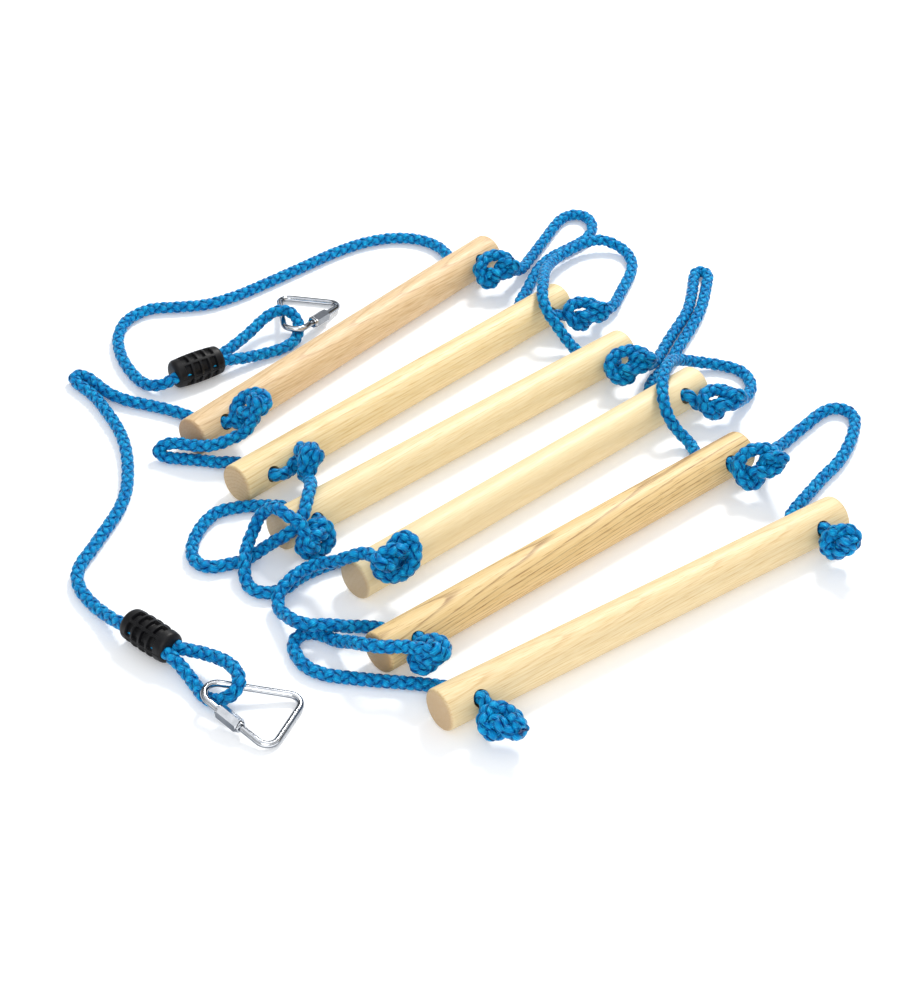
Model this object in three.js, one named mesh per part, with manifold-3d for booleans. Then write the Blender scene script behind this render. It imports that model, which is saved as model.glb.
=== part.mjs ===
// Rope ladder lying loose on the ground: six wooden rungs, two knotted side ropes,
// and at the top of each rope an eye, a rope clamp and a screw-lock delta link.
// Millimetres. +X runs along the rungs, +Y towards the top of the ladder, +Z up.
import * as THREE from 'three';
import { mergeVertices } from 'three/addons/utils/BufferGeometryUtils.js';
import Module from 'manifold-3d';

const wasm = await Module();
wasm.setup();

// Driving dimensions
const rungDiameter = 30;
const rungLength = 347;
const rungSides = 20;
const endChamfer = 2.3;
const holeDiameter = 12.6;
const holeInset = 25; // from a rung's end to the middle of its rope hole
const ropeDiameter = 9.2;
const ropeSides = 8;
const holeRunout = 3.5; // how far a rope runs straight on past a rung
const knotDepth = 9; // how far the end of a rope lies from the middle of its knot
const gap = 0.35; // between pieces that touch

const clampLength = 42;
const clampDiameter = 24;
const clampHeight = 12.2; // middle of a clamp above the ground
const strandSpacing = ropeDiameter + 0.4; // the two strands of an eye inside a clamp
const clampRunout = 3; // how far a strand runs straight on past a clamp
const tailInside = 13; // how far the eye's tail runs back past the clamp's middle

const rodDiameter = 4.8;
const linkLength = 60; // bow to wide side, on the rod's centreline
const linkWidth = 48; // across the wide side, on the rod's centreline
const bowRadius = 9.5;
const cornerRadius = 8;
const linkPitch = 10; // the bow lies on the rope, so the link slopes down to its wide side
const linkLift = 13.4; // height of the bow's outermost point on the rod's centreline
const nutLength = 21;
const nutAcrossFlats = 9;
const nutStart = 19; // from the bow's outer point along the rod
const gateGap = 6.5; // opening in the rod that the nut closes

const rungRadius = rungDiameter / 2;
const ropeRadius = ropeDiameter / 2;
const rodRadius = rodDiameter / 2;
const layHeight = ropeRadius + 0.35; // middle of a rope that lies on the ground

const wood = new THREE.MeshStandardMaterial({ color: 0xe9cf9f, roughness: 0.55, metalness: 0 });
const darkWood = new THREE.MeshStandardMaterial({ color: 0xd9b981, roughness: 0.55, metalness: 0 });
const blueRope = new THREE.MeshStandardMaterial({ color: 0x0a74c8, roughness: 0.4, metalness: 0 });
const blackPlastic = new THREE.MeshStandardMaterial({ color: 0x141416, roughness: 0.6, metalness: 0 });
const zincSteel = new THREE.MeshStandardMaterial({ color: 0xc9ccd0, roughness: 0.22, metalness: 1 });

// Where each rung lies: its middle, its turn about +Z, and how far its holes are tilted up
// on the side that faces the bottom of the ladder.
const rungs = [
  { x: 33, y: 193, turn: 6.9, tilt: 27, material: wood },
  { x: 22, y: 112, turn: 2.6, tilt: 14, material: wood },
  { x: 10, y: 39, turn: -0.7, tilt: 18, material: wood },
  { x: 14, y: -36, turn: 0, tilt: 28, material: wood },
  { x: -24, y: -110, turn: -2.2, tilt: 25, material: darkWood },
  { x: -33, y: -193, turn: -7.2, tilt: 27, material: wood },
];

// Middle of each knot and its size across, by side and rung.
const knots = {
  left: [
    { at: [-101, 149, 34], size: [30, 27, 36] },
    { at: [-105, 78, 29], size: [28, 28, 38] },
    { at: [-153, 12, 20], size: [32, 25, 28] },
    { at: [-139, -58, 38], size: [34, 30, 38] },
    { at: [-180, -137, 25], size: [32, 30, 30] },
    { at: [-184, -210, 17], size: [33, 35, 33] },
  ],
  right: [
    { at: [181, 180, 22], size: [34, 29, 30] },
    { at: [191, 86, 19], size: [28, 32, 27] },
    { at: [157, 6, 25], size: [40, 31, 31] },
    { at: [178, -69, 19], size: [29, 34, 28] },
    { at: [134, -149, 25], size: [42, 34, 32] },
    { at: [112, -243, 21], size: [33, 31, 31] },
  ],
};

// How each clamp lies: its middle, and the heading of its axis towards the eye.
const clamps = {
  left: { x: -294, y: 15, heading: -84.8 },
  right: { x: -77, y: 247, heading: -9.1 },
};

// How each link lies: the outermost point of its bow, and its heading.
const links = {
  left: { x: -300, y: -52, heading: -65 },
  right: { x: 11, y: 236, heading: 36.5 },
};

// Routes of the free ropes, chosen by hand. A lead runs from its clamp to rung 1; rope n runs
// from the knot at rung n to the hole of the next rung.
const leadRoutes = {
  left: [
    [-301, 47, 10], [-300, 60, 7], [-299, 76, 5], [-296, 94, 5], [-289, 108, 5], [-279, 117, 5],
    [-266, 124, 5], [-252, 132, 5], [-238, 140, 5], [-222, 150, 5], [-207, 163, 5], [-193, 180, 5],
    [-180, 199, 5], [-170, 218, 5], [-163, 237, 5], [-158, 256, 5], [-154, 273, 5], [-152.6, 288, 5],
    [-152.4, 302, 5], [-150, 309, 5], [-144.4, 309, 5], [-142, 302, 5], [-142.2, 288, 5], [-142.4, 273, 5],
    [-138, 256, 5], [-130, 240, 5], [-122, 224, 5], [-117, 210, 5], [-116, 199, 6],
  ],
  right: [
    [-107, 248, 10], [-114, 257, 7], [-115, 271, 5], [-111, 292, 5], [-103, 313, 5], [-90, 333, 5],
    [-71, 347, 5], [-48, 348, 5], [-29, 335, 5], [-9, 322, 5], [15, 316, 5], [48, 314, 5],
    [84, 313, 5], [122, 312, 5], [150, 307, 5], [172, 296, 5], [186, 279, 5], [190, 261, 5],
    [187, 245, 5], [182, 232, 5.6],
  ],
};
const ropeRoutes = {
  left: [
    [
      [-113, 138, 27], [-126, 143, 22], [-137, 149, 19], [-146, 161, 17], [-152, 174, 15],
      [-158, 182, 12], [-163, 183, 7.5], [-160, 176, 5], [-153, 167, 5], [-144, 156, 5],
      [-136, 145, 5], [-130, 136, 7],
    ],
    [
      [-114, 66, 24], [-121, 55, 29], [-130, 44, 35.5], [-141, 34, 37], [-151, 26, 34], [-161, 23, 28],
      [-169, 27, 22], [-173, 34, 15], [-179, 40, 8], [-187, 42, 5], [-197, 43, 5], [-206, 47, 5],
      [-214, 51, 5], [-219, 59, 5], [-218, 69, 5], [-211, 79, 5], [-200, 88, 5], [-187, 95, 5],
      [-174, 98, 5], [-162, 94, 5], [-151, 87, 5], [-142, 79, 5], [-137, 70, 7],
    ],
    [
      [-163, 15, 37], [-168, 23, 42], [-168, 34, 42], [-168, 43, 37], [-172, 49, 29], [-180, 48, 20],
      [-189, 43, 16], [-198, 35, 14], [-205, 27, 8], [-209, 18, 5], [-208, 9, 5], [-202, 2, 5],
      [-191, -1, 5], [-178, 1, 5], [-164, 0, 5], [-150, -3, 5], [-139, -8, 5.4],
    ],
    [
      [-153, -42, 39], [-161, -35, 36], [-166, -23, 27], [-169, -11, 20], [-178, -5, 16],
      [-192, -6, 15], [-204, -9, 11], [-211, -18, 8], [-214, -30, 11], [-216, -42, 15], [-212, -53, 16.3],
      [-202, -60, 15], [-190, -64, 9], [-178, -70, 5.5], [-172, -79, 6],
    ],
    [
      [-191, -125, 31], [-202, -115, 31], [-206, -100, 26], [-204, -85, 17], [-204, -71, 9],
      [-204, -59, 5], [-209, -49, 5], [-218, -46, 5], [-226, -51, 5], [-231, -61, 5], [-233, -73, 5],
      [-229, -87, 5], [-219, -101, 5], [-207, -116, 5], [-195, -130, 5], [-186, -141, 5],
      [-180, -150, 5.4],
    ],
  ],
  right: [
    [
      [197, 175, 17], [210, 179, 11], [228, 189, 7], [248, 199, 5], [268, 208, 5], [288, 217, 5],
      [301, 221, 5], [312, 219, 5], [317, 210, 5], [313, 198, 5], [304, 189, 5], [290, 183, 5],
      [268, 182, 5], [250, 182, 5], [232, 178, 5], [214, 169, 5], [197, 159, 5], [182, 150, 7],
      [173, 143, 9],
    ],
    [
      [211, 88, 13], [228, 91, 8], [246, 101, 5], [263, 110, 5], [279, 119, 5], [292, 130, 5],
      [299, 143, 6], [299, 155, 8], [292, 166, 11], [279, 172, 11], [264, 173, 11], [248, 171, 12],
      [232, 165, 15], [216, 155, 21], [201, 143, 28], [187, 130, 34], [175, 119, 37], [164, 108, 36],
      [159, 98, 31], [159, 88, 23], [161, 78, 13], [161, 68, 8],
    ],
    [
      [178, 5, 16], [195, 12, 9], [212, 21, 5], [231, 30, 5], [250, 38, 5], [268, 46, 5],
      [285, 57, 5], [301, 69, 5], [312, 78, 5], [320, 82.5, 5], [325, 79.4, 5], [323.2, 72.6, 5],
      [311, 63, 5], [296, 52, 5], [279, 41, 5], [262, 32, 5], [244.4, 24, 5], [227, 16.5, 5],
      [209, 8, 5], [190, 2, 5], [174, -3, 5], [164, -11, 5.4],
    ],
    [
      [197, -72, 12], [213, -67, 7], [226, -60, 5], [234, -50, 5], [237, -39, 5], [234, -28, 5],
      [227, -18, 6], [217, -11, 9], [205, -9, 15], [192, -11, 22], [179, -17, 30], [166, -25, 36],
      [153, -33, 38], [142, -42, 37], [134, -51, 32], [131, -60, 23], [134, -67, 13], [136, -76, 7],
      [132, -86, 6], [127, -93, 7],
    ],
    [
      [154, -136, 17], [170, -130, 11], [187, -126, 6], [204, -123, 5], [221, -121, 5], [238, -119, 5],
      [250, -121, 5], [256, -129, 5], [253, -140, 5], [242, -149, 5], [228, -157, 5], [212, -164, 5],
      [196, -169, 5], [179, -172, 5], [162, -176, 5], [145, -180, 5], [130, -184, 5], [120, -189, 6],
    ],
  ],
};
// An eye leaves the clamp beside the lead, dips under the link's bow, comes up through the link
// and crosses back over its long bar.
const eyeRoutes = {
  left: [
    [-296, -21, 9], [-297, -33, 6], [-299, -44, 5], [-300, -53, 5], [-296, -61, 7], [-290, -67, 12],
    [-283, -66, 17.2], [-278, -57, 18], [-276, -44, 16.5], [-278, -31, 14.5], [-282, -18, 12.6],
  ],
  right: [
    [-41, 236, 9], [-22, 233, 6], [-4, 230, 5], [9, 232, 5], [18, 238, 6.6], [24, 246, 11],
    [22, 255, 16.6], [13, 260, 17.6], [0, 260, 15.5], [-16, 256, 13.2], [-36, 251, 12.3],
  ],
};

const degrees = THREE.MathUtils.degToRad;
const vector = ([x, y, z]) => new THREE.Vector3(x, y, z);
const ladder = new THREE.Group();

function place(name, geometry, material) {
  const mesh = new THREE.Mesh(geometry, material);
  mesh.name = name;
  ladder.add(mesh);
}

function toSolid(geometry) {
  const bare = geometry.clone();
  bare.deleteAttribute('normal');
  bare.deleteAttribute('uv');
  const merged = mergeVertices(bare, 1e-4);
  const vertProperties = new Float32Array(merged.attributes.position.array);
  const triVerts = new Uint32Array(merged.index.array);
  return new wasm.Manifold(new wasm.Mesh({ numProp: 3, vertProperties, triVerts }));
}

function toGeometry(solid) {
  const { vertProperties, triVerts } = solid.getMesh();
  const geometry = new THREE.BufferGeometry();
  geometry.setAttribute('position', new THREE.BufferAttribute(vertProperties, 3));
  geometry.setIndex(new THREE.BufferAttribute(triVerts, 1));
  return geometry;
}

// A cylinder from one point to another.
function rodBetween(from, to, radius, sides) {
  const along = to.clone().sub(from);
  const geometry = new THREE.CylinderGeometry(radius, radius, along.length(), sides);
  const turn = new THREE.Quaternion().setFromUnitVectors(new THREE.Vector3(0, 1, 0), along.clone().normalize());
  geometry.applyQuaternion(turn);
  return geometry.translate(...from.clone().add(to).multiplyScalar(0.5).toArray());
}

// A rope's centreline, which never dips below the height at which the rope lies on the ground.
// Its tube gets one step for each point of the route.
class RopeLine extends THREE.CatmullRomCurve3 {
  getPoint(t, target = new THREE.Vector3()) {
    const point = super.getPoint(t, target);
    point.z = Math.max(point.z, layHeight);
    return point;
  }

  getUtoTmapping(u) {
    return u;
  }
}

function polygon(radius, sides) {
  const corners = [];
  for (let i = 0; i < sides; i += 1) {
    const angle = ((i + 0.5) / sides) * Math.PI * 2;
    corners.push(new THREE.Vector2(radius * Math.cos(angle), radius * Math.sin(angle)));
  }
  return new THREE.Shape(corners);
}

function tube(line, radius, sides, steps) {
  return new THREE.ExtrudeGeometry(polygon(radius, sides), { steps, extrudePath: line });
}

function ropeTube(line, radius) {
  return tube(line, radius, ropeSides, line.points.length - 1);
}

// The two rope holes of a rung: a point on a hole's axis, measured from the rung's axis towards
// the side where the knot sits.
function holePoint(rung, side, distance) {
  const turn = degrees(rung.turn);
  const tilt = degrees(rung.tilt);
  const along = (side === 'left' ? -1 : 1) * (rungLength / 2 - holeInset);
  return new THREE.Vector3(
    rung.x + along * Math.cos(turn) + distance * Math.cos(tilt) * Math.sin(turn),
    rung.y + along * Math.sin(turn) - distance * Math.cos(tilt) * Math.cos(turn),
    rungRadius * Math.cos(Math.PI / rungSides) + distance * Math.sin(tilt),
  );
}

function addRung(rung, number) {
  const half = rungLength / 2;
  const profile = [
    new THREE.Vector2(0, -half),
    new THREE.Vector2(rungRadius - endChamfer, -half),
    new THREE.Vector2(rungRadius, -half + endChamfer),
    new THREE.Vector2(rungRadius, half - endChamfer),
    new THREE.Vector2(rungRadius - endChamfer, half),
    new THREE.Vector2(0, half),
  ];
  const dowel = new THREE.LatheGeometry(profile, rungSides);
  dowel.rotateY(Math.PI / rungSides); // one flat faces the ground
  dowel.rotateZ(-Math.PI / 2);
  dowel.rotateZ(degrees(rung.turn));
  dowel.translate(rung.x, rung.y, rungRadius * Math.cos(Math.PI / rungSides));
  let solid = toSolid(dowel);
  for (const side of ['left', 'right']) {
    const from = holePoint(rung, side, -rungRadius - 3);
    const to = holePoint(rung, side, rungRadius + 3);
    solid = solid.subtract(toSolid(rodBetween(from, to, holeDiameter / 2, 12)));
  }
  place(`rung_${number}`, toGeometry(solid), rung.material);
}

// Where a rope ends inside a knot that it reaches from the given point.
function knotEnd(knot, from) {
  const middle = vector(knot.at);
  return middle.clone().add(from.clone().sub(middle).setLength(knotDepth));
}

// A point on one strand inside or beside a clamp: distance along its axis towards the eye,
// and side 1 for the strand that comes back from the link or -1 for the one of the lead.
function strandPoint(side, along, strand) {
  const clamp = clamps[side];
  const heading = degrees(clamp.heading);
  const across = (strand * strandSpacing) / 2;
  return new THREE.Vector3(
    clamp.x + along * Math.cos(heading) - across * Math.sin(heading),
    clamp.y + along * Math.sin(heading) + across * Math.cos(heading),
    clampHeight,
  );
}

function throughHole(rung, side, knot) {
  const exit = holePoint(rung, side, rungRadius + holeRunout);
  return [holePoint(rung, side, -rungRadius - holeRunout), exit, knotEnd(knot, exit)];
}

function leadLine(side) {
  const inside = strandPoint(side, -gap / 2, -1);
  const mouth = strandPoint(side, -clampLength / 2 - clampRunout, -1);
  const route = leadRoutes[side].map(vector);
  return new RopeLine([inside, mouth, ...route, ...throughHole(rungs[0], side, knots[side][0])], false);
}

function ropeLine(side, index) {
  const route = ropeRoutes[side][index].map(vector);
  const start = knotEnd(knots[side][index], route[0]);
  return new RopeLine([start, ...route, ...throughHole(rungs[index + 1], side, knots[side][index + 1])], false);
}

function eyeLine(side) {
  const route = eyeRoutes[side].map(vector);
  const points = [
    strandPoint(side, gap / 2, -1),
    strandPoint(side, clampLength / 2 + clampRunout, -1),
    ...route,
    strandPoint(side, clampLength / 2 + clampRunout, 1),
    strandPoint(side, -tailInside, 1),
  ];
  return new RopeLine(points, false);
}

// The room that a rope needs inside a knot, at one of the rope's two ends.
function pocket(line, atEnd) {
  const end = line.points[atEnd ? line.points.length - 1 : 0];
  const tangent = line.getTangent(atEnd ? 1 : 0).multiplyScalar(atEnd ? 1 : -1);
  const deep = end.clone().addScaledVector(tangent, gap);
  const out = end.clone().addScaledVector(tangent, -2);
  const plug = toSolid(rodBetween(deep, out, ropeRadius + gap, 8));
  return toSolid(ropeTube(line, ropeRadius + gap)).add(plug);
}

function addKnot(side, index, linesHere) {
  const knot = knots[side][index];
  const lump = new THREE.SphereGeometry(0.5, 10, 7);
  lump.scale(...knot.size);
  lump.translate(...knot.at);
  let solid = toSolid(lump);
  for (const [line, atEnd] of linesHere) {
    solid = solid.subtract(pocket(line, atEnd));
  }
  place(`knot_${side}_${index + 1}`, toGeometry(solid), blueRope);
}

// Each clamp is a ribbed barrel in two halves, upper and lower, around both strands.
function addClamp(side) {
  const half = clampLength / 2;
  const radius = clampDiameter / 2;
  const grooves = [-10.8, -3.6, 3.6, 10.8];
  const profile = [new THREE.Vector2(0, -half), new THREE.Vector2(radius - 3.2, -half)];
  profile.push(new THREE.Vector2(radius - 1, -half + 2.2));
  for (const middle of grooves) {
    profile.push(new THREE.Vector2(radius - 0.2, middle - 2.3));
    profile.push(new THREE.Vector2(radius - 1.7, middle - 2));
    profile.push(new THREE.Vector2(radius - 1.7, middle + 2));
    profile.push(new THREE.Vector2(radius - 0.2, middle + 2.3));
  }
  profile.push(new THREE.Vector2(radius - 1, half - 2.2));
  profile.push(new THREE.Vector2(radius - 3.2, half), new THREE.Vector2(0, half));
  const barrel = new THREE.LatheGeometry(profile, 16);
  barrel.rotateZ(-Math.PI / 2);
  barrel.rotateZ(degrees(clamps[side].heading));
  barrel.translate(clamps[side].x, clamps[side].y, clampHeight);
  const bore = ropeRadius + gap;
  const eyeMouth = half + 2;
  let solid = toSolid(barrel);
  const leadBore = rodBetween(strandPoint(side, -eyeMouth, -1), strandPoint(side, eyeMouth, -1), bore, 12);
  const tailBore = rodBetween(strandPoint(side, -tailInside - gap, 1), strandPoint(side, eyeMouth, 1), bore, 12);
  solid = solid.subtract(toSolid(leadBore)).subtract(toSolid(tailBore));
  const reach = clampLength * 2;
  for (const [name, sign] of [['upper', 1], ['lower', -1]]) {
    const cutter = new THREE.BoxGeometry(reach, reach, reach);
    cutter.translate(clamps[side].x, clamps[side].y, clampHeight - sign * (reach / 2 - gap / 2));
    place(`clamp_${side}_${name}`, toGeometry(solid.subtract(toSolid(cutter))), blackPlastic);
  }
}

// A link's own frame: +X from its bow to its wide side, +Y across, origin at the bow's outer point.
function linkMatrix(side) {
  const link = links[side];
  const matrix = new THREE.Matrix4().makeTranslation(link.x, link.y, linkLift);
  matrix.multiply(new THREE.Matrix4().makeRotationZ(degrees(link.heading)));
  return matrix.multiply(new THREE.Matrix4().makeRotationY(degrees(linkPitch)));
}

// The straight bar between the bow and a wide corner: where it touches each arc, on the side +Y.
function longBar() {
  const bow = new THREE.Vector2(bowRadius, 0);
  const corner = new THREE.Vector2(linkLength - cornerRadius, linkWidth / 2 - cornerRadius);
  const between = corner.clone().sub(bow);
  const slope = Math.atan2(between.y, between.x);
  const normal = slope + Math.PI / 2 + Math.asin((cornerRadius - bowRadius) / between.length());
  const side = new THREE.Vector2(Math.cos(normal), Math.sin(normal));
  return {
    normal,
    from: bow.clone().addScaledVector(side, bowRadius),
    to: corner.clone().addScaledVector(side, cornerRadius),
    bow,
    corner,
  };
}

function arc(middle, radius, start, end, steps) {
  const points = [];
  for (let i = 0; i <= steps; i += 1) {
    const angle = start + ((end - start) * i) / steps;
    points.push(new THREE.Vector3(middle.x + radius * Math.cos(angle), middle.y + radius * Math.sin(angle), 0));
  }
  return points;
}

// The rod runs from one side of the gate round both corners and the bow to the gate's other side.
// The gate is in the bar on the side -Y.
function linkLine() {
  const bar = longBar();
  const barStart = new THREE.Vector3(bar.from.x, -bar.from.y, 0);
  const barEnd = new THREE.Vector3(bar.to.x, -bar.to.y, 0);
  const along = barEnd.clone().sub(barStart).normalize();
  const gateNear = barStart.clone().addScaledVector(along, nutStart - bowRadius + 1);
  const gateFar = gateNear.clone().addScaledVector(along, gateGap);
  const lowCorner = new THREE.Vector2(bar.corner.x, -bar.corner.y);
  const points = [
    gateFar,
    ...arc(lowCorner, cornerRadius, -bar.normal, 0, 5),
    ...arc(bar.corner, cornerRadius, 0, bar.normal, 5),
    ...arc(bar.bow, bowRadius, bar.normal, Math.PI * 2 - bar.normal, 9),
    gateNear,
  ];
  return { points, along, barStart };
}

// A path of straight pieces between given points, with one step for each piece.
class RodLine extends THREE.Curve {
  constructor(points) {
    super();
    this.points = points;
  }

  getPoint(t, target = new THREE.Vector3()) {
    const place = Math.min(t, 1) * (this.points.length - 1);
    const from = Math.min(Math.floor(place), this.points.length - 2);
    return target.lerpVectors(this.points[from], this.points[from + 1], place - from);
  }

  getUtoTmapping(u) {
    return u;
  }
}

function addLink(side) {
  const matrix = linkMatrix(side);
  const { points, along, barStart } = linkLine();
  const rod = tube(new RodLine(points), rodRadius, 8, points.length - 1);
  place(`link_${side}`, rod.applyMatrix4(matrix), zincSteel);

  const nutFrom = barStart.clone().addScaledVector(along, nutStart - bowRadius);
  const nutTo = nutFrom.clone().addScaledVector(along, nutLength);
  const outer = rodBetween(nutFrom, nutTo, nutAcrossFlats / Math.sqrt(3), 6);
  const beyond = along.clone().multiplyScalar(2);
  const bore = rodBetween(nutFrom.clone().sub(beyond), nutTo.clone().add(beyond), rodRadius + gap, 12);
  const nut = toGeometry(toSolid(outer).subtract(toSolid(bore)));
  place(`nut_${side}`, nut.applyMatrix4(matrix), zincSteel);
}

rungs.forEach((rung, i) => addRung(rung, i + 1));

for (const side of ['left', 'right']) {
  const lead = leadLine(side);
  const ropes = ropeRoutes[side].map((route, i) => ropeLine(side, i));
  place(`lead_${side}`, ropeTube(lead, ropeRadius), blueRope);
  place(`eye_${side}`, ropeTube(eyeLine(side), ropeRadius), blueRope);
  ropes.forEach((line, i) => place(`rope_${side}_${i + 1}`, ropeTube(line, ropeRadius), blueRope));
  knots[side].forEach((knot, i) => {
    const arriving = i === 0 ? lead : ropes[i - 1];
    const linesHere = [[arriving, true]];
    if (i < ropes.length) {
      linesHere.push([ropes[i], false]);
    }
    addKnot(side, i, linesHere);
  });
  addClamp(side);
  addLink(side);
}

export default ladder;
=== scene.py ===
import math
import bmesh
import bpy
import numpy as np
from mathutils import Matrix, Vector


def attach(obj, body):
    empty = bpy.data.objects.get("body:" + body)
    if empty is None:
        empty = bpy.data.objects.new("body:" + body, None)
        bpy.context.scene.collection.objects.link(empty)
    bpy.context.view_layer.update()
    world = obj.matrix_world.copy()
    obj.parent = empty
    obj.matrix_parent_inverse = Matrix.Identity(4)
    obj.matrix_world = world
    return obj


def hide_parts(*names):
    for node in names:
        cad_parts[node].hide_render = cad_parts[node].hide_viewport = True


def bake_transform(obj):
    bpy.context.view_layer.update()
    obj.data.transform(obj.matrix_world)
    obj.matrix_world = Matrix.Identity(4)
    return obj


# A rope ladder lying slack on the ground: six wooden rungs on two knotted ropes,
# with an eye, a rope clamp and a screw-lock link at the top of each rope.
# Sizes and places are millimetres, and are turned into metres where a mesh is made.

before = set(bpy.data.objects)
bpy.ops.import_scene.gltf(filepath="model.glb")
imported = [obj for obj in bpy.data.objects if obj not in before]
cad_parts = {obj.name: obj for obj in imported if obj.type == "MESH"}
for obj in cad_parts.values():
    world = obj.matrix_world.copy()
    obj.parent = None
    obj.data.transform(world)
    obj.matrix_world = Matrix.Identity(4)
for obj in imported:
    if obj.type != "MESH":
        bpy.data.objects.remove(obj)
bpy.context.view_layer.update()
scale = 0.001
bothSides = ("left", "right")


def mm(points):
    return np.array(points, float) * scale


def addObject(name, data):
    made = bpy.data.objects.new(name, data)
    bpy.context.scene.collection.objects.link(made)
    return made


cameraSettings = {
    "place": (-904.2, -943.4, 990.3),
    "lookAt": (-30.7, -6.7, 0.0),
    "lens": 80.04,
    "sensor": 36.0,
}


def makeCamera():
    data = bpy.data.cameras.new("ladderCamera")
    camera = addObject("ladderCamera", data)
    place = Vector(mm(cameraSettings["place"]))
    aim = Vector(mm(cameraSettings["lookAt"])) - place
    camera.location = place
    camera.rotation_euler = aim.to_track_quat("-Z", "Y").to_euler()
    data.lens = cameraSettings["lens"]
    data.sensor_width = cameraSettings["sensor"]
    data.clip_end = 20
    bpy.context.scene.camera = camera


def addSocket(tree, name, kind, value=None, out=False):
    socket = tree.interface.new_socket(name, in_out="OUTPUT" if out else "INPUT", socket_type=kind)
    if value is not None:
        socket.default_value = value
    return socket


def setInputs(tree, node, inputs):
    # each value is a number, a colour or another node's output
    for name, value in inputs.items():
        if isinstance(value, bpy.types.NodeSocket):
            tree.links.new(value, node.inputs[name])
        else:
            node.inputs[name].default_value = value


def addNode(tree, kind, inputs=None, **settings):
    node = tree.nodes.new(kind)
    for name, value in settings.items():
        setattr(node, name, value)
    setInputs(tree, node, inputs or {})
    return node


def mathNode(tree, operation, a, b=None, clamp=False):
    inputs = {0: a} if b is None else {0: a, 1: b}
    return addNode(tree, "ShaderNodeMath", inputs, operation=operation, use_clamp=clamp).outputs[0]


def mixNode(tree, kind, factor, a, b):
    node = addNode(tree, "ShaderNodeMix", data_type="RGBA", blend_type=kind)
    for name, value in (("Factor", factor), ("A", a), ("B", b)):
        socket = next(i for i in node.inputs if i.name == name and (i.type == "RGBA" or name == "Factor"))
        if isinstance(value, bpy.types.NodeSocket):
            tree.links.new(value, socket)
        else:
            socket.default_value = value if name == "Factor" else (*value, 1)
    return next(o for o in node.outputs if o.type == "RGBA")


def stretch(tree, value, low, high, toLow=0.0, toHigh=1.0, kind="LINEAR"):
    # spreads the part of a value between low and high over a new range
    inputs = {"Value": value, "From Min": low, "From Max": high, "To Min": toLow, "To Max": toHigh}
    return addNode(tree, "ShaderNodeMapRange", inputs, interpolation_type=kind).outputs[0]


def noise(tree, vector, size, detail):
    inputs = {"Vector": vector, "Scale": size, "Detail": detail}
    return addNode(tree, "ShaderNodeTexNoise", inputs).outputs["Fac"]


def bump(tree, height, strength, distance):
    inputs = {"Height": height, "Strength": strength, "Distance": distance}
    return addNode(tree, "ShaderNodeBump", inputs).outputs[0]


def ramp(tree, value, stops):
    node = addNode(tree, "ShaderNodeValToRGB", {0: value})
    while len(node.color_ramp.elements) < len(stops):
        node.color_ramp.elements.new(0.5)
    for element, (place, colour) in zip(node.color_ramp.elements, stops):
        element.position = place
        element.color = (*colour, 1)
    return node.outputs[0]


def newMaterial(name):
    material = bpy.data.materials.new(name)
    material.use_nodes = True
    return material, material.node_tree, material.node_tree.nodes["Principled BSDF"]


def makeFibreGroup():
    # fine drawn fibres along a surface, some lighter than others
    tree = bpy.data.node_groups.new("fineFibres", "ShaderNodeTree")
    addSocket(tree, "Vector", "NodeSocketVector")
    addSocket(tree, "Across", "NodeSocketFloat", 20.0)
    addSocket(tree, "Along", "NodeSocketFloat", 4.0)
    addSocket(tree, "Fibres", "NodeSocketFloat", out=True)
    into = addNode(tree, "NodeGroupInput").outputs
    size = addNode(tree, "ShaderNodeCombineXYZ", {0: into["Across"], 1: into["Along"], 2: into["Across"]})
    drawn = addNode(tree, "ShaderNodeVectorMath", {0: into["Vector"], 1: size.outputs[0]}, operation="MULTIPLY")
    addNode(tree, "NodeGroupOutput", {"Fibres": noise(tree, drawn.outputs[0], 1.0, 3.0)})
    return tree


def makeGrainGroup():
    # growth rings cut by a turned dowel, with the fine streaks between them
    tree = bpy.data.node_groups.new("woodGrain", "ShaderNodeTree")
    addSocket(tree, "Vector", "NodeSocketVector")
    addSocket(tree, "Heart", "NodeSocketVector", (0, 0.02, -0.03))
    addSocket(tree, "Lean", "NodeSocketFloat", 0.05)
    addSocket(tree, "Ring gap", "NodeSocketFloat", 0.0028)
    addSocket(tree, "Wander", "NodeSocketFloat", 0.6)
    addSocket(tree, "Rings", "NodeSocketFloat", out=True)
    addSocket(tree, "Streaks", "NodeSocketFloat", out=True)
    into = addNode(tree, "NodeGroupInput").outputs
    offset = addNode(tree, "ShaderNodeVectorMath", {0: into["Vector"], 1: into["Heart"]}, operation="SUBTRACT")
    parts = addNode(tree, "ShaderNodeSeparateXYZ", {0: offset.outputs[0]}).outputs
    slow = addNode(tree, "ShaderNodeMapping", {"Vector": into["Vector"], "Scale": (9, 25, 25)})
    drift = noise(tree, slow.outputs[0], 1.0, 2.0)
    y = mathNode(tree, "ADD", parts[1], mathNode(tree, "MULTIPLY", parts[0], into["Lean"]))
    flat = addNode(tree, "ShaderNodeCombineXYZ", {0: y, 1: parts[2]})
    distance = addNode(tree, "ShaderNodeVectorMath", {0: flat.outputs[0]}, operation="LENGTH").outputs["Value"]
    rings = mathNode(tree, "DIVIDE", distance, into["Ring gap"])
    sway = mathNode(tree, "MULTIPLY", mathNode(tree, "MULTIPLY", drift, into["Wander"]), 6.0)
    fine = addNode(tree, "ShaderNodeMapping", {"Vector": into["Vector"], "Scale": (60, 1500, 1500)})
    addNode(tree, "NodeGroupOutput", {
        "Rings": mathNode(tree, "FRACT", mathNode(tree, "ADD", rings, sway)),
        "Streaks": noise(tree, fine.outputs[0], 1.0, 3.0),
    })
    return tree


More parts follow.
